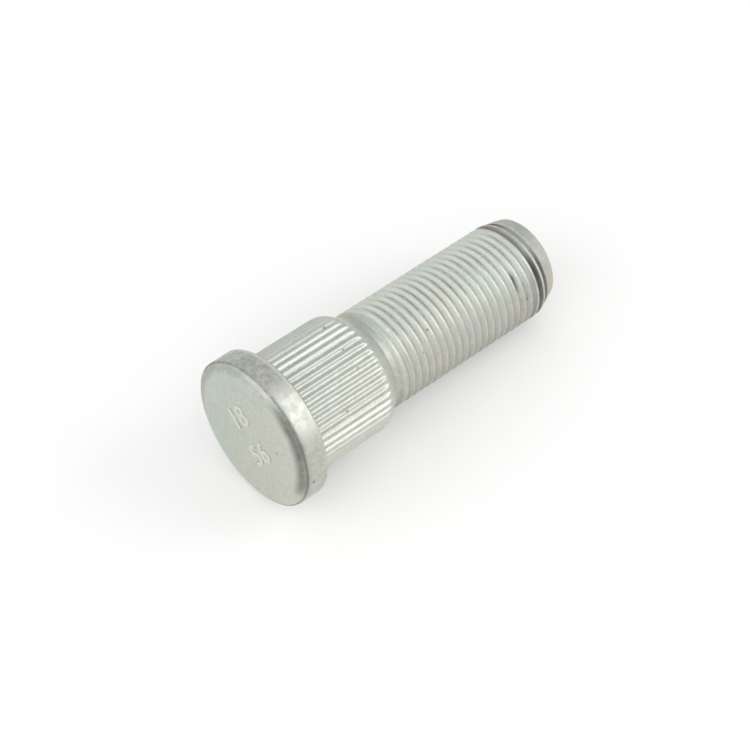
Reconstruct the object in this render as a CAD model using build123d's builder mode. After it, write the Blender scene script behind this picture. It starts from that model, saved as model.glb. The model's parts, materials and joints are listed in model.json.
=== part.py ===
from build123d import *
import os
from math import pi, radians, tan

# Press-in wheel stud, forged and rolled in one piece. It stands on its round head,
# with the origin at the centre of the head's outer face and +Z along the shank.
# Sizes are in millimetres and degrees.

# Threaded shank
shank_length = 56.1          # from the seat under the head to the end of the point
thread_diameter = 17.8       # over the thread crests
thread_entry_angle = 45.0    # cone from the neck up to the first crest
neck_depth = 0.3             # how far the neck lies below the thread crests
neck_length = 1.0            # plain neck between the lead-in taper and the thread
neck_round = 0.8             # hollow round where the taper runs into the neck
point_length = 4.0
point_angle = 17.5           # slope of the point's cone against the axis
point_edge_chamfer = 0.3

# Splined collar
hole_clearance = 1.4         # between the thread and the hub hole that it passes
tooth_height = 0.4           # how far the teeth bite into that hole's wall
tooth_count = 46
tooth_crest_width = 0.25
tooth_flank_angle = 45.0     # between a flank and the tooth's own centre line
tooth_land = 0.3             # plain ring between the seat's fillet and the teeth
spline_length = 15.8         # from the seat to the start of the lead-in taper
lead_in_angle = 34.0         # slope of the taper against the axis
lead_in_round = 3.0          # round where the crests run into the taper

# Head
head_thickness = 5.2
seat_width = 2.55            # bearing ring outside the tooth crests
seat_fillet_radius = 0.6     # hollow fillet between the seat and the collar
face_bevel_width = 2.0       # taken off the outer face
face_bevel_height = 0.95     # taken off the rim
rim_round = 0.35             # soft edge between the bevel and the rim
seat_edge_chamfer = 0.3      # broken edge between the rim and the seat

# Radii that follow from the driving sizes
thread_radius = thread_diameter / 2
neck_radius = thread_radius - neck_depth
point_radius = thread_radius - (point_length - point_edge_chamfer) * tan(radians(point_angle))
root_radius = thread_radius + hole_clearance
crest_radius = root_radius + tooth_height
head_radius = crest_radius + seat_width

# Heights along the axis
overall_length = head_thickness + shank_length
teeth_start = head_thickness + seat_fillet_radius + tooth_land
lead_in_start = head_thickness + spline_length
lead_in_end = lead_in_start + (crest_radius - neck_radius) / tan(radians(lead_in_angle))
neck_end = lead_in_end + neck_length
thread_start = neck_end + neck_depth / tan(radians(thread_entry_angle))
point_start = overall_length - point_length

# Half section of the blank, from the face's centre out to the rim and up to the point:
# each corner is its radius from the axis, its height and its rounding.
corners = [
    (head_radius - face_bevel_width, 0, 0),
    (head_radius, face_bevel_height, rim_round),
    (head_radius, head_thickness - seat_edge_chamfer, 0),
    (head_radius - seat_edge_chamfer, head_thickness, 0),
    (crest_radius, head_thickness, seat_fillet_radius),
    (crest_radius, lead_in_start, lead_in_round),
    (neck_radius, lead_in_end, neck_round),
    (neck_radius, neck_end, 0),
    (thread_radius, thread_start, 0),
    (thread_radius, point_start, 0),
    (point_radius, overall_length - point_edge_chamfer, 0),
    (point_radius - point_edge_chamfer, overall_length, 0),
]
outline = [(radius, height) for radius, height, _ in corners]
roundings = [rounding for _, _, rounding in corners]

# Space between two teeth, drawn on the X axis with its floor at the origin
tooth_pitch = 2 * pi * root_radius / tooth_count
flank_run = tooth_height * tan(radians(tooth_flank_angle))
floor_half = (tooth_pitch - tooth_crest_width) / 2 - flank_run
cutter_depth = 2 * tooth_height
mouth_half = floor_half + cutter_depth * tan(radians(tooth_flank_angle))

with BuildPart() as stud:
    # Turned blank: head, collar, taper, neck, shank and point in one revolve
    with BuildSketch(Plane.XZ):
        with BuildLine():
            FilletPolyline((0, 0), *outline, (0, overall_length), radius=roundings)
            Line((0, overall_length), (0, 0))
        make_face()
    revolve(axis=Axis.Z)

    # Tooth spaces run up the collar and out through the lead-in taper in points
    with BuildSketch(Plane.XY.offset(teeth_start)):
        with PolarLocations(root_radius, tooth_count):
            Polygon(
                (0, -floor_half),
                (cutter_depth, -mouth_half),
                (cutter_depth, mouth_half),
                (0, floor_half),
                align=None,
            )
    extrude(amount=lead_in_end - teeth_start, mode=Mode.SUBTRACT)

stud.part.label = "wheel_stud"
os.makedirs("parts", exist_ok=True)
export_step(stud.part, "parts/wheel_stud.step")

print(f"overall length {overall_length:.2f}, head diameter {2 * head_radius:.2f}")
print(f"spline diameter {2 * crest_radius:.2f}, lead-in ends at {lead_in_end:.2f}")
print(f"thread from {thread_start:.2f} to {point_start:.2f}, point diameter {2 * point_radius:.2f}")
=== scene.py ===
import json
import math
import bpy
from mathutils import Matrix, Vector


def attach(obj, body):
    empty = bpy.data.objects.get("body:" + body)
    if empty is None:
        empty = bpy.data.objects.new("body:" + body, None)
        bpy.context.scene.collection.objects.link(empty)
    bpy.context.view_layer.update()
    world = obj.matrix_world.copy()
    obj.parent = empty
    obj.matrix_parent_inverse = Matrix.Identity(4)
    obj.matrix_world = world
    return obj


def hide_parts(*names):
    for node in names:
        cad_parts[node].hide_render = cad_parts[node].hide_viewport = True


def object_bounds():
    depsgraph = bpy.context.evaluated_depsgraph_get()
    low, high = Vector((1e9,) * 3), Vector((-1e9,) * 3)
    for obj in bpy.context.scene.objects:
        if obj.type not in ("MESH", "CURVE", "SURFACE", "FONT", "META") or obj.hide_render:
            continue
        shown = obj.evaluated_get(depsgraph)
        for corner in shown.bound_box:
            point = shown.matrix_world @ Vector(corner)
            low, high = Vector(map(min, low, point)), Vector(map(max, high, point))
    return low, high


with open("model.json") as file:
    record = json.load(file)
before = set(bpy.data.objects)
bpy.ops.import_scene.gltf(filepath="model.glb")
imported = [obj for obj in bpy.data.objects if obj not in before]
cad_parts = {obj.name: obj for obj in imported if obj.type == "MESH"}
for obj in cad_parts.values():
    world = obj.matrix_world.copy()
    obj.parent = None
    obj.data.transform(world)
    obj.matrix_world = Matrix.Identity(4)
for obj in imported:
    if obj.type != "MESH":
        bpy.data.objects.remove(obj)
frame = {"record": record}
cadLow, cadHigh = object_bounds()
mm = 0.001
mounts = {mount["name"]: mount for mount in frame["record"]["mounts"]}
scene = bpy.context.scene
scene.view_settings.view_transform = "Standard"
print("frame loaded, overall length", round(cadHigh.z / mm, 2), "mm")


class Flow:
    # one output socket of a node; sums on it add Math nodes to its tree
    def __init__(self, bench, socket):
        self.bench = bench
        self.socket = socket

    def out(self, name):
        return Flow(self.bench, self.socket.node.outputs[name])

    def __add__(self, other):
        return self.bench.maths("ADD", self, other)

    def __radd__(self, other):
        return self.bench.maths("ADD", other, self)

    def __sub__(self, other):
        return self.bench.maths("SUBTRACT", self, other)

    def __rsub__(self, other):
        return self.bench.maths("SUBTRACT", other, self)

    def __mul__(self, other):
        return self.bench.maths("MULTIPLY", self, other)

    def __rmul__(self, other):
        return self.bench.maths("MULTIPLY", other, self)

    def __truediv__(self, other):
        return self.bench.maths("DIVIDE", self, other)

    def __rtruediv__(self, other):
        return self.bench.maths("DIVIDE", other, self)


class Bench:
    # one node tree, shader or geometry, that is being filled
    def __init__(self, tree):
        self.tree = tree
        tree.nodes.clear()

    def add(self, kind, settings=None, values=None):
        node = self.tree.nodes.new(kind)
        for name, setting in (settings or {}).items():
            setattr(node, name, setting)
        free = [socket for socket in node.inputs if socket.enabled]
        for key, value in (values or {}).items():
            socket = free[key] if isinstance(key, int) else next(s for s in free if s.name == key)
            if isinstance(value, Flow):
                self.tree.links.new(value.socket, socket)
            else:
                socket.default_value = value
        shown = [socket for socket in node.outputs if socket.enabled]
        return Flow(self, shown[0]) if shown else None

    def maths(self, operation, *values):
        return self.add("ShaderNodeMath", {"operation": operation}, dict(enumerate(values)))

    def least(self, first, second):
        return self.maths("MINIMUM", first, second)

    def most(self, first, second):
        return self.maths("MAXIMUM", first, second)

    def rise(self, value, low, high):
        # smooth step from 0 at low to 1 at high
        settings = {"interpolation_type": "SMOOTHSTEP"}
        return self.add("ShaderNodeMapRange", settings, {"Value": value, "From Min": low, "From Max": high})

    def between(self, value, limits, soft):
        # 1 inside the limits and 0 outside, with soft ends
        low, high = limits
        return self.rise(value, low - soft, low + soft) * (1 - self.rise(value, high - soft, high + soft))

    def blend(self, mask, first, second):
        colours = {"Factor": mask, "A": first, "B": second}
        return self.add("ShaderNodeMix", {"data_type": "RGBA"}, colours)


def sideVector(azimuth, elevation):
    # unit vector from the part towards that side, as the views count their angles
    side = math.radians(azimuth)
    height = math.radians(elevation)
    return Vector((math.sin(side) * math.cos(height), -math.cos(side) * math.cos(height), math.sin(height)))


# The camera looks up at the head of the standing stud, because in the photo the stud lies on its side.
photoCamera = {
    "lens": 115.2,
    "sensor": 36,
    "nearest": 10 * mm,
    "azimuth": 78.06,
    "elevation": -28.35,
    "roll": 57.0,
    "distance": 392.5 * mm,
    "aim": Vector((0.54, 2.54, 25.13)) * mm,
}


def addCamera():
    data = bpy.data.cameras.new("photoCamera")
    data.lens = photoCamera["lens"]
    data.sensor_width = photoCamera["sensor"]
    data.clip_start = photoCamera["nearest"]
    camera = bpy.data.objects.new("photoCamera", data)
    scene.collection.objects.link(camera)
    back = sideVector(photoCamera["azimuth"], photoCamera["elevation"])
    levelRight = Vector((0, 0, 1)).cross(back).normalized()
    levelUp = back.cross(levelRight)
    roll = math.radians(photoCamera["roll"])
    right = levelRight * math.cos(roll) + levelUp * math.sin(roll)
    up = levelUp * math.cos(roll) - levelRight * math.sin(roll)
    camera.matrix_world = Matrix((right, up, back)).transposed().to_4x4()
    camera.location = photoCamera["aim"] + back * photoCamera["distance"]
    scene.camera = camera
    return right, up


photoRight, photoUp = addCamera()
print("camera set")


# Stud: one closed mesh, lathed by Geometry Nodes from a half section and the section of one tooth.
# Sizes are in metres and angles in degrees, and those that the solid has are its own.
stud = {
    "lieAzimuth": 47.1,              # in the photo the stud lies with this side up
    "headRadius": cadHigh.x,
    "headThickness": mounts["hub_seat"]["pos_m"][2],
    "faceSink": 0.13 * mm,           # the face lies this far inside the solid's, to leave room for the marks
    "bevelWidth": 2.0 * mm,
    "bevelHeight": 0.95 * mm,
    "faceRound": 2.5 * mm,
    "rimRound": 0.35 * mm,
    "seatChamfer": 0.3 * mm,
    "seatFillet": 0.6 * mm,
    "brokenEdge": 0.1 * mm,
    "toothCount": 46,
    "crestRadius": 10.7 * mm,
    "rootRadius": 10.3 * mm,
    "teethStart": 6.1 * mm,
    "leadInStart": 21.0 * mm,
    "leadInAngle": 34,
    "leadInRound": 3.0 * mm,
    "neckDepth": 0.3 * mm,
    "neckLength": 1.0 * mm,
    "neckRound": 0.8 * mm,
    "threadRadius": mounts["thread"]["dims"]["r_mm"] * mm,
    "threadPitch": 1.5 * mm,
    "threadDepth": 0.72 * mm,
    "threadPhase": -0.10,            # share of a pitch that the whole thread is moved by
    "threadFade": 1.6 * mm,          # the first groove deepens over this length
    "spareTurns": 1,                 # turns beyond each end of the thread, which fold away there
    "pointLength": 4.0 * mm,
    "pointAngle": 17.5,
    "pointChamfer": 0.3 * mm,
    "length": cadHigh.z,
    "pointLean": Vector((-0.08, -0.36)) * mm,    # the point's end is that far off the axis
    "uneven": 0.05 * mm,             # forged and coated skin wanders inwards by up to this much
    "unevenScale": 420.0,
    "unevenDetail": 3.0,
    "unevenRange": (0.3, 0.75),      # noise at which the skin starts to sink and is lowest
    "crispAngle": 0.3,               # edges of the thread that turn by more, in radians, are sharp
    "mergeGap": 0.002 * mm,
    "seamTooth": 23,                 # the seam and the thread's start lie behind this tooth
    "arcSteps": 5,
    "rowStep": 1.6 * mm,
    "edgeRow": 0.12 * mm,            # rows this close to an edge keep the flats flat
    "dividedRun": 4,                 # straight runs longer than this many edge rows are divided
}

# share of the tooth's pitch from the crest's middle, and share of its height
toothSection = (
    (-0.345, 0.00), (-0.287, 0.20), (-0.145, 0.85), (-0.055, 1.00),
    (0.055, 1.00), (0.145, 0.85), (0.287, 0.20), (0.345, 0.00),
)

# share of the thread's pitch from the crest's middle, and share of its depth
threadSection = (
    (-0.075, 0.00), (0.075, 0.00), (0.120, 0.06), (0.430, 0.94),
    (0.500, 1.00), (0.570, 0.94), (0.880, 0.06),
)

neckRadius = stud["threadRadius"] - stud["neckDepth"]
leadInSlope = math.tan(math.radians(stud["leadInAngle"]))
pointSlope = math.tan(math.radians(stud["pointAngle"]))
leadInEnd = stud["leadInStart"] + (stud["crestRadius"] - neckRadius) / leadInSlope
neckEnd = leadInEnd + stud["neckLength"]
threadStart = neckEnd + stud["neckDepth"]
pointStart = stud["length"] - stud["pointLength"]
pointShoulder = stud["length"] - stud["pointChamfer"]
pointRadius = stud["threadRadius"] - (pointShoulder - pointStart) * pointSlope
threadEnd = pointStart + stud["threadDepth"] / pointSlope


def roundedOutline(corners):
    # corners are radius, height and rounding; each rounding becomes a tangent arc
    outline = [Vector(corners[0][:2])]
    for before, here, after in zip(corners, corners[1:], corners[2:]):
        corner = Vector(here[:2])
        back = (Vector(before[:2]) - corner).normalized()
        ahead = (Vector(after[:2]) - corner).normalized()
        half = back.angle(ahead) / 2
        centre = corner + (back + ahead).normalized() * here[2] / math.sin(half)
        spoke = corner + back * here[2] / math.tan(half) - centre
        turn = math.copysign(math.pi - 2 * half, back.cross(ahead) * -1)
        for step in range(stud["arcSteps"] + 1):
            outline.append(centre + Matrix.Rotation(turn * step / stud["arcSteps"], 2) @ spoke)
    outline.append(Vector(corners[-1][:2]))
    return outline


def dividedOutline(outline):
    # long straight runs get a row near each end and even rows between
    rows = [outline[0]]
    for start, end in zip(outline, outline[1:]):
        length = (end - start).length
        if length > stud["dividedRun"] * stud["edgeRow"]:
            count = max(1, round(length / stud["rowStep"]))
            edge = stud["edgeRow"] / length
            shares = [edge + (1 - 2 * edge) * step / count for step in range(count + 1)]
            rows.extend(start.lerp(end, share) for share in shares)
        rows.append(end)
    return rows


def profileRows():
    # radius, height, toothed, threaded and groove share of each row, from the face's middle to the point's
    edge = stud["brokenEdge"]
    head = roundedOutline((
        (0, stud["faceSink"], 0),
        (stud["headRadius"] - stud["bevelWidth"], stud["faceSink"], stud["faceRound"]),
        (stud["headRadius"], stud["bevelHeight"], stud["rimRound"]),
        (stud["headRadius"], stud["headThickness"] - stud["seatChamfer"], edge),
        (stud["headRadius"] - stud["seatChamfer"], stud["headThickness"], edge),
        (stud["crestRadius"], stud["headThickness"], stud["seatFillet"]),
        (stud["crestRadius"], stud["teethStart"], 0),
    ))
    collar = roundedOutline((
        (stud["crestRadius"], stud["teethStart"], 0),
        (stud["crestRadius"], stud["leadInStart"], stud["leadInRound"]),
        (neckRadius, leadInEnd, stud["neckRound"]),
        (neckRadius, neckEnd, edge),
        (stud["threadRadius"], threadStart, 0),
    ))
    point = roundedOutline((
        (stud["threadRadius"] - stud["threadDepth"], threadEnd, 0),
        (pointRadius, pointShoulder, edge),
        (pointRadius - stud["pointChamfer"], stud["length"], edge),
        (0, stud["length"], 0),
    ))
    rows = [(row.x, row.y, 0, 0, 0) for row in dividedOutline(head)]
    rows += [(row.x, row.y, 1, 0, 0) for row in dividedOutline(collar)]
    turns = math.ceil((threadEnd - threadStart) / stud["threadPitch"]) + 2 * stud["spareTurns"]
    for turn in range(turns):
        for share, groove in threadSection:
            climb = turn - stud["spareTurns"] + stud["threadPhase"] + share
            rows.append((stud["threadRadius"], threadStart + stud["threadPitch"] * climb, 0, 1, groove))
    rows += [(row.x, row.y, 0, 0, 0) for row in dividedOutline(point)]
    return rows


def pointsObject(name, points):
    mesh = bpy.data.meshes.new(name)
    mesh.from_pydata(points, [], [])
    thing = bpy.data.objects.new(name, mesh)
    scene.collection.objects.link(thing)
    return thing


def treeSockets(tree, inputs):
    face = tree.interface
    face.new_socket("Profile", in_out="INPUT", socket_type="NodeSocketGeometry")
    sockets = {}
    for name, (kind, _) in inputs.items():
        sockets[name] = face.new_socket(name, in_out="INPUT", socket_type="NodeSocket" + kind).identifier
    face.new_socket("Stud", in_out="OUTPUT", socket_type="NodeSocketGeometry")
    return sockets


def closedStud(bench, given, grid, hollow, target):
    # the grid is drawn onto the stud's surface, its seam and poles are closed, and it gets its finish
    marked = {"Geometry": grid, "Name": "hollow", "Value": hollow}
    solid = bench.add("GeometryNodeStoreNamedAttribute", {"data_type": "FLOAT", "domain": "POINT"}, marked)
    solid = bench.add("GeometryNodeSetPosition", {}, {"Geometry": solid, "Position": target})
    merged = {"Geometry": solid, "Distance": given.out("Merge Gap")}
    solid = bench.add("GeometryNodeMergeByDistance", {}, merged)
    solid = bench.add("GeometryNodeFlipFaces", {}, {"Mesh": solid})
    solid = bench.add("GeometryNodeSetShadeSmooth", {}, {"Geometry": solid})

    # the thread's flanks, crests and roots meet in crisp edges
    bend = bench.add("GeometryNodeInputMeshEdgeAngle")
    place = bench.add("GeometryNodeInputPosition")
    above = bench.add("ShaderNodeSeparateXYZ", {}, {0: place}).out("Z")
    ridge = bench.maths("GREATER_THAN", bend, given.out("Crisp Angle"))
    ridge = ridge * bench.maths("GREATER_THAN", above, given.out("Thread Start"))
    crisp = {"Geometry": solid, "Selection": ridge, "Shade Smooth": False}
    solid = bench.add("GeometryNodeSetShadeSmooth", {"domain": "EDGE"}, crisp)
    solid = bench.add("GeometryNodeRealizeInstances", {}, {"Geometry": solid})
    return bench.add("GeometryNodeSetMaterial", {}, {"Geometry": solid, "Material": given.out("Finish")})


def studTree(inputs):
    tree = bpy.data.node_groups.new("studLathe", "GeometryNodeTree")
    bench = Bench(tree)
    sockets = treeSockets(tree, inputs)
    given = bench.add("NodeGroupInput")

    # grid of rows by columns; each row takes its place from the profile, each column from the tooth
    columns = given.out("Tooth Count") * given.out("Tooth Points") + 1
    sizes = {"Vertices X": given.out("Rows"), "Vertices Y": columns}
    grid = bench.add("GeometryNodeMeshGrid", {}, sizes)
    index = bench.add("GeometryNodeInputIndex")
    row = bench.maths("FLOOR", index / columns)
    column = index - row * columns
    tooth = bench.maths("FLOOR", column / given.out("Tooth Points"))
    toothPoint = column - tooth * given.out("Tooth Points")
    place = bench.add("GeometryNodeInputPosition")
    section = bench.add("GeometryNodeObjectInfo", {}, {"Object": given.out("Tooth Section")}).out("Geometry")

    def sample(source, value, number, kind):
        settings = {"data_type": kind, "domain": "POINT"}
        values = {"Geometry": source, "Value": value, "Index": number}
        return bench.add("GeometryNodeSampleIndex", settings, values)

    def samplePlace(source, number):
        return bench.add("ShaderNodeSeparateXYZ", {}, {0: sample(source, place, number, "FLOAT_VECTOR")})

    def rowValue(name):
        value = bench.add("GeometryNodeInputNamedAttribute", {"data_type": "FLOAT"}, {"Name": name})
        return sample(given.out("Profile"), value, row, "FLOAT")

    rowPlace = samplePlace(given.out("Profile"), row)
    toothPlace = samplePlace(section, toothPoint)
    threaded = rowValue("threaded")
    groove = rowValue("groove")
    turn = (tooth + toothPlace.out("X")) / given.out("Tooth Count")
    angle = (turn + (given.out("Seam Tooth") + 0.5) / given.out("Tooth Count")) * math.tau

    # thread rows climb one pitch a turn and stop at both ends of the thread
    climbed = rowPlace.out("Z") + turn * given.out("Pitch")
    climbed = bench.least(bench.most(climbed, given.out("Thread Start")), given.out("Thread End"))
    height = rowPlace.out("Z") + threaded * (climbed - rowPlace.out("Z"))
    intoThread = (climbed - given.out("Thread Start")) / given.out("Thread Fade")
    depth = groove * given.out("Thread Depth") * bench.rise(intoThread, 0, 1)
    cone = given.out("Thread Radius") - (climbed - given.out("Point Start")) * given.out("Point Slope")
    outside = bench.least(given.out("Thread Radius"), cone)
    threadRadius = bench.least(outside, given.out("Thread Radius") - depth)
    blank = rowPlace.out("X") + threaded * (threadRadius - rowPlace.out("X"))

    # between the teeth the collar is cut down to the tooth's section
    toothRadius = given.out("Root Radius") + given.out("Tooth Height") * toothPlace.out("Y")
    cut = rowValue("toothed") * bench.most(blank - toothRadius, 0)
    radius = blank - cut
    hollow = cut / given.out("Tooth Height") + threaded * (outside - threadRadius) / given.out("Thread Depth")

    # the skin is a little uneven, and the point leans off the axis
    sine = bench.maths("SINE", angle)
    cosine = bench.maths("COSINE", angle)
    smooth = bench.add("ShaderNodeCombineXYZ", {}, {"X": radius * cosine, "Y": radius * sine, "Z": height})
    waves = {"Vector": smooth, "Scale": given.out("Uneven Scale"), "Detail": stud["unevenDetail"]}
    sunk = bench.rise(bench.add("ShaderNodeTexNoise", {}, waves), *stud["unevenRange"])
    radius = bench.most(radius - given.out("Uneven") * sunk, 0)
    lean = bench.rise(height, given.out("Point Start"), given.out("Length"))
    across = radius * cosine + given.out("Lean X") * lean
    along = radius * sine + given.out("Lean Y") * lean
    target = bench.add("ShaderNodeCombineXYZ", {}, {"X": across, "Y": along, "Z": height})
    bench.add("NodeGroupOutput", {}, {"Stud": closedStud(bench, given, grid, hollow, target)})
    return tree, sockets


def addStud(finish):
    rows = profileRows()
    profile = pointsObject("studProfile", [(row[0], 0, row[1]) for row in rows])
    for name, place in (("toothed", 2), ("threaded", 3), ("groove", 4)):
        attribute = profile.data.attributes.new(name, "FLOAT", "POINT")
        attribute.data.foreach_set("value", [row[place] for row in rows])
    section = pointsObject("toothSection", [(share, lift, 0) for share, lift in toothSection])
    inputs = {
        "Tooth Section": ("Object", section),
        "Finish": ("Material", finish),
        "Rows": ("Int", len(rows)),
        "Tooth Count": ("Int", stud["toothCount"]),
        "Tooth Points": ("Int", len(toothSection)),
        "Seam Tooth": ("Float", float(stud["seamTooth"])),
        "Root Radius": ("Float", stud["rootRadius"]),
        "Tooth Height": ("Float", stud["crestRadius"] - stud["rootRadius"]),
        "Thread Radius": ("Float", stud["threadRadius"]),
        "Thread Depth": ("Float", stud["threadDepth"]),
        "Pitch": ("Float", stud["threadPitch"]),
        "Thread Start": ("Float", threadStart),
        "Thread End": ("Float", threadEnd),
        "Thread Fade": ("Float", stud["threadFade"]),
        "Point Start": ("Float", pointStart),
        "Point Slope": ("Float", pointSlope),
        "Length": ("Float", stud["length"]),
        "Lean X": ("Float", stud["pointLean"].x),
        "Lean Y": ("Float", stud["pointLean"].y),
        "Uneven": ("Float", stud["uneven"]),
        "Uneven Scale": ("Float", stud["unevenScale"]),
        "Crisp Angle": ("Float", stud["crispAngle"]),
        "Merge Gap": ("Float", stud["mergeGap"]),
    }
    tree, sockets = studTree(inputs)
    lathe = profile.modifiers.new("lathe", "NODES")
    lathe.node_group = tree
    for name, (_, value) in inputs.items():
        lathe[sockets[name]] = value
    shaped = profile.evaluated_get(bpy.context.evaluated_depsgraph_get())
    mesh = bpy.data.meshes.new_from_object(shaped)
    mesh.name = "wheelStud"
    piece = bpy.data.objects.new("wheelStud", mesh)
    scene.collection.objects.link(piece)
    for helper in (profile, section):
        bpy.data.objects.remove(helper)
    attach(piece, "root")
    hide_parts("wheel_stud")
    return piece


# Zinc: matt grey coat on steel, cooler on the side that lies upwards, with stains, pits and worn edges, and
# with painted highlights and painted shade.
# Angles are in degrees round the axis from the line that lies uppermost in the photo, heights and radii
# in millimetres. A pair of numbers is where a mask starts and where it is full.
zinc = {
    "cool": (0.505, 0.562, 0.510, 1),
    "warm": (0.580, 0.568, 0.510, 1),
    "pale": (0.700, 0.715, 0.670, 1),
    "dullAndShade": (0.300, 0.295, 0.265, 1),
    "grimeAndShade": (0.115, 0.108, 0.095, 1),
    "green": (0.400, 0.470, 0.415, 1),
    "rubbedAndLit": (0.780, 0.795, 0.750, 1),
    "brown": (0.300, 0.265, 0.215, 1),
    "tan": (0.560, 0.510, 0.370, 1),
    "cloudScale": 150.0,
    "mottleScale": 900.0,
    "grainScale": 4200.0,
    "detail": 3.0,
    "grainDetail": 2.0,
    "noiseRoughness": 0.55,
    "warmSide": (-10, 95),
    "warmSideShare": 0.60,
    "warmCloud": (0.35, 0.65),
    "warmCloudShare": 0.55,
    # painted highlight: the collar is painted paler
    "collarPaintedHighlight": 0.12,
    "breaks": {"mottle": 0.7, "grain": 0.3},         # what breaks up the patches
    "breakRange": (0.38, 0.62),
    "markRaised": (0.09, 0.03),
    "markReach": (11.0, 10.0),
    "markRub": 0.42,
    "pitScale": 330.0,
    "pitChosen": (0.90, 0.93),       # share of the cells that hold no pit
    "pitEdge": (0.14, 0.07),
    "pitFloor": 0.4,                 # a larger pit's full depth starts at this share of its size
    "pitDirt": 0.5,
    "relief": {"mottle": 0.6, "grain": 0.5, "pits": -1.5},
    "bumpStrength": 0.5,
    "bumpDepth": 0.03 * mm,
    "roughness": 0.40,
    "rougher": {"mottle": 0.10, "collar": -0.03, "neck": 0.08, "point": 0.16, "pits": 0.20, "head": 0.08},
    "metallic": 0.90,
    "collarLoss": 0.10,              # how much less metallic the collar and the thread are
    "crestLoss": 0.20,
    "grooveLoss": 0.20,              # on top of the crests' loss
    "grooveEdge": (0.02, 0.10),
}

# stretches of the stud along its axis and how soft their ends are; the thread's takes in the point
zones = {
    "head": ((-10.0, 5.3), 0.3),
    "collar": ((5.6, 21.5), 0.6),
    "collarRoots": ((5.0, 23.0), 0.8),
    "neck": ((22.5, 26.0), 0.8),
    "thread": ((25.3, 70.0), 0.7),
    "lastTurns": ((55.9, 59.4), 0.6),
    "point": ((58.25, 70.0), 0.75),
}

# fine variation of the coat: which noise, where it starts and is full, strength and colour
bloom = (
    ("mottle", (0.50, 0.72), 0.16, "pale"),
    ("mottle", (0.50, 0.30), 0.12, "dullAndShade"),
    ("grain", (0.54, 0.70), 0.34, "pale"),
    ("grain", (0.46, 0.30), 0.38, "dullAndShade"),
)

# the grooves are painted lighter as painted light, and their roots darker, as painted shade in the thread,
# dirt and painted shade in the collar, and dirt in the last turns
grooves = {
    "paintedGrooveLight": (0.1, 0.8),             # shares of a groove's depth
    "threadPaintedLight": 0.50,
    "collarPaintedLight": 0.18,
    "root": (0.80, 0.95),
    "threadRootShade": 0.72,
    "lowSide": (12, 60),
    "lowLoss": 0.50,                 # painted shade that the thread's roots lack on its low side
    "threadBreak": (0.75, 1.10),
    "collarDirtAndShade": 0.22,
    "collarBreak": (0.62, 0.40),
    "tip": (0.02, 0.25),
    "tipDirt": 0.95,
    "tipClean": (-25, 32),           # the last turns are cleaner between these angles
    "tipCleanSoft": 14,
    "tipLoss": 0.45,                 # dirt that they lack there
}
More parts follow.
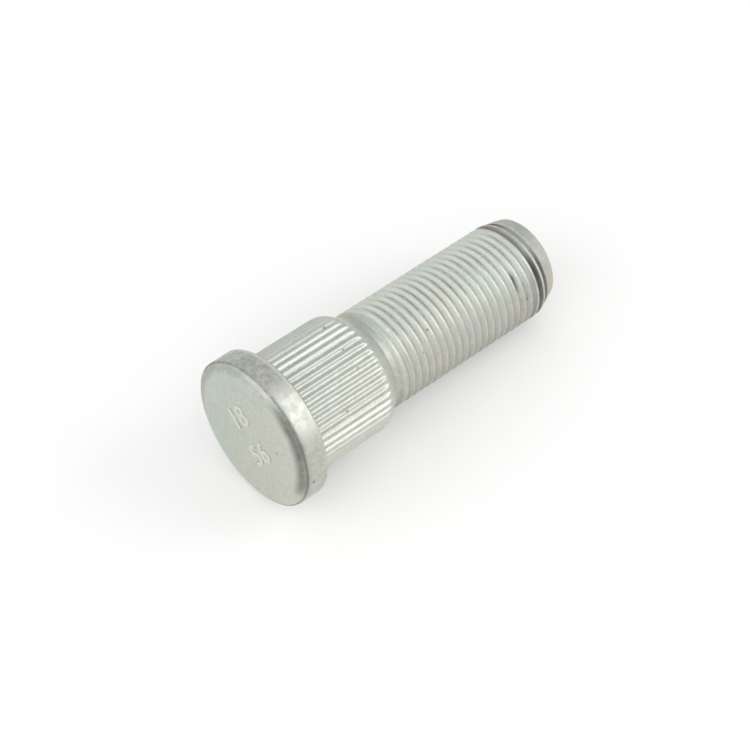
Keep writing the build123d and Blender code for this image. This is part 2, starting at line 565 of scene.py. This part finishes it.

# stained and worn patches, and patches of painted shade and painted highlight: colour, strength, angles,
# heights and radii between which they lie, how soft their ends are in degrees and their edges in millimetres,
# and how broken up they are
patches = {
    "faceBeige": {"colour": "tan", "strength": 0.40, "angle": (-200, 200), "height": (-0.3, 0.5),
                  "radius": (-5.0, 9.0), "soft": (5, 2.5), "broken": 0.5},
    "faceLow": {"colour": "green", "strength": 0.22, "angle": (95, 178), "height": (-0.3, 0.5),
                "radius": (5.5, 11.6), "soft": (20, 1.2), "broken": 0.6},
    "faceHigh": {"colour": "green", "strength": 0.30, "angle": (-40, 24), "height": (-0.3, 0.5),
                 "radius": (8.5, 12.0), "soft": (12, 1.0), "broken": 0.6},
    # painted shade: the bevel is darkened where the lamps would light it
    "bevelShade": {"colour": "grimeAndShade", "strength": 0.50, "angle": (-110, 22), "height": (-0.3, 0.9),
                  "radius": (11.6, 13.6), "soft": (12, 0.9), "broken": 0.25},
    "bevelBright": {"colour": "rubbedAndLit", "strength": 0.45, "angle": (-12, 19), "height": (-0.3, 0.8),
                    "radius": (12.1, 12.9), "soft": (6, 0.2), "broken": 0.8},
    # stains with painted shade on the bevel's side that faces away from the lamps
    "bevelStainAndShade": {"colour": "grimeAndShade", "strength": 0.86, "angle": (24, 106), "height": (-0.3, 1.0),
                   "radius": (11.4, 13.9), "soft": (12, 0.9), "broken": 0.12},
    "bevelSmutAndShade": {"colour": "grimeAndShade", "strength": 0.70, "angle": (34, 66), "height": (-0.3, 1.0),
                  "radius": (12.0, 13.8), "soft": (12, 0.7), "broken": 0.4},
    "rimEdge": {"colour": "grimeAndShade", "strength": 0.62, "angle": (-200, 200), "height": (0.72, 1.05),
                "radius": (12.9, 13.5), "soft": (5, 0.10), "broken": 0.4},
    # painted highlight along the rim's rounded back edge
    "rimBack": {"colour": "pale", "strength": 0.70, "angle": (-75, 10), "height": (4.45, 4.85),
                "radius": (12.8, 13.5), "soft": (12, 0.12), "broken": 0.3},
    "rimSeat": {"colour": "grimeAndShade", "strength": 0.55, "angle": (-90, 40), "height": (4.95, 5.3),
                "radius": (12.6, 13.5), "soft": (12, 0.10), "broken": 0.4},
    "rimDull": {"colour": "dullAndShade", "strength": 0.50, "angle": (-75, 16), "height": (1.1, 4.4),
                "radius": (13.0, 14.0), "soft": (12, 0.3), "broken": 0.9},
    "rimFrost": {"colour": "rubbedAndLit", "strength": 0.75, "angle": (14, 50), "height": (1.3, 5.0),
                 "radius": (13.0, 14.0), "soft": (8, 0.4), "broken": 1.0},
    "rimSoot": {"colour": "dullAndShade", "strength": 0.30, "angle": (58, 130), "height": (1.1, 4.9),
                "radius": (13.0, 14.0), "soft": (12, 0.4), "broken": 0.8},
    # the next three are painted shade, darker on the stud's low side and underneath
    "threadLowShade": {"colour": "dullAndShade", "strength": 0.26, "angle": (62, 150), "height": (25.0, 58.5),
                  "radius": (7.5, 9.0), "soft": (18, 0.6), "broken": 0.4},
    "threadUnderShade": {"colour": "dullAndShade", "strength": 0.40, "angle": (92, 170), "height": (24.0, 58.5),
                    "radius": (7.5, 9.0), "soft": (14, 0.6), "broken": 0.3},
    "tipLowShade": {"colour": "dullAndShade", "strength": 0.45, "angle": (55, 150), "height": (51.0, 58.0),
               "radius": (7.5, 9.0), "soft": (18, 2.0), "broken": 0.6},
    "neckTan": {"colour": "tan", "strength": 0.65, "angle": (-60, -12), "height": (22.8, 25.3),
                "radius": (8.0, 9.9), "soft": (14, 0.5), "broken": 0.4},
    "neckDull": {"colour": "dullAndShade", "strength": 0.24, "angle": (-200, 200), "height": (22.6, 25.4),
                 "radius": (8.0, 9.9), "soft": (5, 0.5), "broken": 0.4},
    "tipBrown": {"colour": "brown", "strength": 0.75, "angle": (-70, 10), "height": (55.7, 57.9),
                 "radius": (7.5, 9.0), "soft": (14, 0.5), "broken": 0.5},
    "pointDull": {"colour": "dullAndShade", "strength": 0.48, "angle": (-200, 200), "height": (58.8, 62.0),
                  "radius": (6.5, 9.0), "soft": (5, 0.3), "broken": 0.4},
    "tipTan": {"colour": "tan", "strength": 0.45, "angle": (58, 84), "height": (59.2, 61.0),
               "radius": (7.0, 9.0), "soft": (8, 0.3), "broken": 0.3},
    "threadStreak": {"colour": "grimeAndShade", "strength": 0.90, "angle": (36, 58), "height": (52.15, 52.55),
                     "radius": (7.5, 9.0), "soft": (7, 0.2), "broken": 0.2},
}

# larger pits that show in the photo: angle in degrees, height and size in millimetres
pits = (
    (32, 31.0, 0.30), (38, 33.1, 0.28), (55, 53.6, 0.35), (75, 53.9, 0.35), (12, 41.5, 0.28),
    (11, 17.5, 0.28), (32, 17.5, 0.28), (-21, 18.6, 0.35), (-32, 14.0, 0.28), (60, 12.5, 0.25),
)


def weighted(masks, weights, total=0.0):
    for name, weight in weights.items():
        total = total + masks[name] * weight
    return total


def zincFields(bench):
    # where a point of the surface lies, how deep in a groove, in which zone, and the coat's three noises
    place = bench.add("ShaderNodeTexCoord").out("Object")
    inside = bench.add("ShaderNodeSeparateXYZ", {}, {0: place})
    upward = sideVector(stud["lieAzimuth"], 0)
    x = inside.out("X") / mm
    y = inside.out("Y") / mm
    turn = bench.maths("ARCTAN2", y * upward.x - x * upward.y, x * upward.x + y * upward.y)

    def noise(scale, detail):
        values = {"Vector": place, "Scale": scale, "Detail": detail, "Roughness": zinc["noiseRoughness"]}
        return bench.add("ShaderNodeTexNoise", {}, values)

    field = {
        "place": place,
        "height": inside.out("Z") / mm,
        "radius": bench.maths("SQRT", x * x + y * y),
        "angle": turn * math.degrees(1),
        "hollow": bench.add("ShaderNodeAttribute", {"attribute_name": "hollow"}).out("Fac"),
        "cloud": noise(zinc["cloudScale"], zinc["detail"]),
        "mottle": noise(zinc["mottleScale"], zinc["detail"]),
        "grain": noise(zinc["grainScale"], zinc["grainDetail"]),
    }
    for name, (limits, soft) in zones.items():
        field[name] = bench.between(field["height"], limits, soft)
    return field


def bloomColour(bench, field):
    # cool and warm clouds, a fine mottle and a finer grain
    side = bench.rise(field["angle"], *zinc["warmSide"]) * zinc["warmSideShare"]
    cloud = bench.rise(field["cloud"], *zinc["warmCloud"]) * zinc["warmCloudShare"]
    colour = bench.blend(bench.least(side + cloud, 1), zinc["cool"], zinc["warm"])
    for source, limits, strength, paint in bloom:
        colour = bench.blend(bench.rise(field[source], *limits) * strength, colour, zinc[paint])
    # the collar is painted paler, a painted highlight
    return bench.blend(field["collar"] * zinc["collarPaintedHighlight"], colour, zinc["pale"])


def grooveColour(bench, field, colour):
    hollow = field["hollow"]
    # painted light: the grooves of the thread and the collar are painted lighter
    paintedGrooveLight = grooves["threadPaintedLight"] * field["thread"] + grooves["collarPaintedLight"] * field["collar"]
    colour = bench.blend(bench.rise(hollow, *grooves["paintedGrooveLight"]) * paintedGrooveLight, colour, zinc["rubbedAndLit"])

    # painted shade in the thread's roots, thin where the stud lies low, and dirt with painted shade in the
    # collar's roots
    root = bench.rise(hollow, *grooves["root"])
    lower = bench.rise(field["angle"], *grooves["lowSide"])
    threadRootShade = root * (grooves["threadRootShade"] - grooves["lowLoss"] * lower) * field["thread"]
    threadRootShade = threadRootShade * bench.rise(field["cloud"] + field["mottle"], *grooves["threadBreak"])
    collarDirtAndShade = root * grooves["collarDirtAndShade"] * field["collarRoots"]
    collarDirtAndShade = collarDirtAndShade * bench.rise(field["mottle"], *grooves["collarBreak"])
    colour = bench.blend(bench.most(threadRootShade, collarDirtAndShade), colour, zinc["dullAndShade"])

    # dirt is heaviest in the last turns before the point
    cleaner = bench.between(field["angle"], grooves["tipClean"], grooves["tipCleanSoft"])
    tipDirt = bench.rise(hollow, *grooves["tip"]) * field["lastTurns"]
    tipDirt = tipDirt * (grooves["tipDirt"] - grooves["tipLoss"] * cleaner)
    return bench.blend(tipDirt, colour, zinc["grimeAndShade"])


def patchColour(bench, field, colour):
    breaks = bench.rise(weighted(field, zinc["breaks"]), *zinc["breakRange"])
    for patch in patches.values():
        ends, edges = patch["soft"]
        mask = bench.between(field["angle"], patch["angle"], ends)
        mask = mask * bench.between(field["height"], patch["height"], edges)
        mask = mask * bench.between(field["radius"], patch["radius"], edges) * patch["strength"]
        mask = mask * (1 - patch["broken"] * breaks)
        colour = bench.blend(mask, colour, zinc[patch["colour"]])
    return colour


def pitMask(bench, field):
    # a scatter all over, and the larger ones where the photo has them
    cells = bench.add("ShaderNodeTexVoronoi", {}, {"Vector": field["place"], "Scale": zinc["pitScale"]})
    tint = bench.add("ShaderNodeSeparateColor", {}, {0: cells.out("Color")})
    pitted = bench.rise(tint, *zinc["pitChosen"]) * bench.rise(cells, *zinc["pitEdge"])
    for angle, height, size in pits:
        aside = (field["angle"] - angle) * math.radians(1) * field["radius"]
        above = field["height"] - height
        distance = bench.maths("SQRT", aside * aside + above * above)
        pitted = bench.most(pitted, bench.rise(distance, size, size * zinc["pitFloor"]))
    return pitted


def zincFinish():
    material = bpy.data.materials.new("zincCoat")
    material.use_nodes = True
    bench = Bench(material.node_tree)
    field = zincFields(bench)
    field["pits"] = pitMask(bench, field)
    colour = bloomColour(bench, field)
    colour = grooveColour(bench, field, colour)
    colour = patchColour(bench, field, colour)

    # the raised marks on the face are rubbed lighter, and the pits hold dirt
    raised = bench.rise(field["height"], *zinc["markRaised"])
    raised = raised * bench.rise(field["radius"], *zinc["markReach"])
    colour = bench.blend(raised * zinc["markRub"], colour, zinc["rubbedAndLit"])
    colour = bench.blend(field["pits"] * zinc["pitDirt"], colour, zinc["grimeAndShade"])

    grooved = bench.rise(field["hollow"], *zinc["grooveEdge"])
    metallic = zinc["metallic"] - field["collar"] * zinc["collarLoss"]
    metallic = metallic - field["thread"] * (zinc["crestLoss"] + zinc["grooveLoss"] * grooved)
    roughness = weighted(field, zinc["rougher"], zinc["roughness"])
    relief = {"Height": weighted(field, zinc["relief"])}
    relief.update({"Strength": zinc["bumpStrength"], "Distance": zinc["bumpDepth"]})
    bump = bench.add("ShaderNodeBump", {}, relief)
    surface = {"Base Color": colour, "Metallic": metallic, "Roughness": roughness, "Normal": bump}
    coat = bench.add("ShaderNodeBsdfPrincipled", {}, surface)
    bench.add("ShaderNodeOutputMaterial", {}, {"Surface": coat})
    return material


zincCoat = zincFinish()
studPiece = addStud(zincCoat)
print("stud made,", sum(len(face.vertices) - 2 for face in studPiece.data.polygons), "triangles")


# Marks: plain numbers that stand up from the head's face, the thread's diameter and the shank's length.
# The middle of each line is in millimetres, right and up as the camera sees the face.
marks = {
    "lines": {"18": (0.0, 3.4), "56": (0.0, -3.4)},
    "typeSize": 5.2 * mm,
    "weight": 0.07 * mm,             # the strokes are widened by this much
    "curveSteps": 6,
    "bevel": 0.05 * mm,
    "bevelSteps": 2,
    "sunk": 0.05 * mm,               # the foot of each figure lies this far below the face
    "tilt": 12,
}


def addMarks(finish):
    outward = Vector((0, 0, -1))
    up = (photoUp - outward * photoUp.dot(outward)).normalized()
    up = Matrix.Rotation(math.radians(marks["tilt"]), 3, outward) @ up
    right = up.cross(outward)
    half = (stud["faceSink"] + marks["sunk"]) / 2
    for number, (figures, (aside, above)) in enumerate(marks["lines"].items()):
        curve = bpy.data.curves.new(f"mark{number}", "FONT")
        curve.body = figures
        curve.align_x = "CENTER"
        curve.align_y = "CENTER"
        curve.size = marks["typeSize"]
        curve.resolution_u = marks["curveSteps"]
        curve.offset = marks["weight"]
        curve.bevel_depth = marks["bevel"]
        curve.bevel_resolution = marks["bevelSteps"]
        curve.extrude = half - marks["bevel"]
        text = bpy.data.objects.new(f"mark{number}", curve)
        scene.collection.objects.link(text)
        mesh = bpy.data.meshes.new_from_object(text.evaluated_get(bpy.context.evaluated_depsgraph_get()))
        bpy.data.objects.remove(text)
        middle = right * aside * mm + up * above * mm + Vector((0, 0, half))
        mesh.transform(Matrix.Translation(middle) @ Matrix((right, up, outward)).transposed().to_4x4())
        mesh.materials.clear()
        mesh.materials.append(finish)
        mark = bpy.data.objects.new(f"headMark{number}", mesh)
        scene.collection.objects.link(mark)
        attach(mark, "root")


addMarks(zincCoat)
print("marks made")


# Stage: the white table that the stud lies on in the photo, seen only from its upper side,
# and a level floor for the standing stud, seen only from above
stage = {
    "reach": 1.5,
    "glow": 0.2,                     # how far the camera and reflections see it as plain white
    "white": (1, 1, 1, 1),
    "chalk": (0.88, 0.88, 0.88, 1),
    "worldLight": 0.80,
}


def stagePaint(name):
    material = bpy.data.materials.new(name)
    material.use_nodes = True
    bench = Bench(material.node_tree)
    glow = bench.add("ShaderNodeEmission", {}, {"Color": stage["white"], "Strength": 1.0})
    chalk = bench.add("ShaderNodeBsdfDiffuse", {}, {"Color": stage["chalk"]})
    path = bench.add("ShaderNodeLightPath")
    shown = bench.most(bench.most(path, path.out("Is Glossy Ray")), path.out("Is Transmission Ray"))
    lit = bench.add("ShaderNodeMixShader", {}, {0: shown * stage["glow"], 1: chalk, 2: glow})
    behind = bench.add("ShaderNodeNewGeometry").out("Backfacing")
    clear = bench.add("ShaderNodeBsdfTransparent")
    sided = bench.add("ShaderNodeMixShader", {}, {0: behind, 1: lit, 2: clear})
    bench.add("ShaderNodeOutputMaterial", {}, {"Surface": sided})
    return material


def stagePlane(name, centre, normal, across):
    along = normal.cross(across)
    square = ((-1, -1), (1, -1), (1, 1), (-1, 1))
    corners = [centre + (across * x + along * y) * stage["reach"] for x, y in square]
    mesh = bpy.data.meshes.new(name)
    mesh.from_pydata(corners, [], [(0, 1, 2, 3)])
    plane = bpy.data.objects.new(name, mesh)
    scene.collection.objects.link(plane)
    mesh.materials.append(stagePaint(name))
    return plane


# the stud lies on its rim and on the end of its thread
vertical = Vector((0, 0, 1))
rimBack = stud["headThickness"] - stud["seatChamfer"]
lieSlope = math.atan((stud["headRadius"] - stud["threadRadius"]) / (pointStart - rimBack))
tableNormal = sideVector(stud["lieAzimuth"], -math.degrees(lieSlope))
touch = sideVector(stud["lieAzimuth"], 0) * -stud["headRadius"] + vertical * rimBack
stagePlane("photoTable", touch, tableNormal, vertical.cross(tableNormal).normalized())

# the level floor only shows: it throws no light or shadow on the stud
floor = stagePlane("levelFloor", Vector((0, 0, 0)), vertical, Vector((1, 0, 0)))
for ray in ("diffuse", "glossy", "transmission", "shadow"):
    setattr(floor, "visible_" + ray, False)


def addWorld():
    world = bpy.data.worlds.new("studio")
    scene.world = world
    world.use_nodes = True
    bench = Bench(world.node_tree)
    sky = bench.add("ShaderNodeBackground", {}, {"Color": stage["white"], "Strength": stage["worldLight"]})
    bench.add("ShaderNodeOutputWorld", {}, {"Surface": sky})


# softboxes: place as right, away from the camera along the table, and up from it, all in metres
lamps = {
    "softboxLeft": {"place": (-0.62, -0.28, 0.20), "size": 0.75, "watts": 2.0, "colour": (0.97, 1.0, 0.97)},
    "frontFill": {"place": (-0.20, -0.50, 0.50), "size": 0.6, "watts": 1.3, "colour": (0.98, 1.0, 0.98)},
    "softboxRight": {"place": (0.60, 0.05, 0.40), "size": 0.5, "watts": 1.75, "colour": (1.0, 0.99, 0.96)},
}


def addLamps():
    away = tableNormal.cross(photoRight).normalized()
    middle = Vector((0, 0, stud["length"] / 2))
    for name, lamp in lamps.items():
        data = bpy.data.lights.new(name, "AREA")
        data.size = lamp["size"]
        data.energy = lamp["watts"]
        data.color = lamp["colour"]
        light = bpy.data.objects.new(name, data)
        scene.collection.objects.link(light)
        right, back, up = lamp["place"]
        light.location = middle + photoRight * right + away * back + tableNormal * up
        light.rotation_mode = "QUATERNION"
        light.rotation_quaternion = (middle - light.location).to_track_quat("-Z", "Y")
        light.visible_camera = False


addWorld()
addLamps()
print("stage lit")
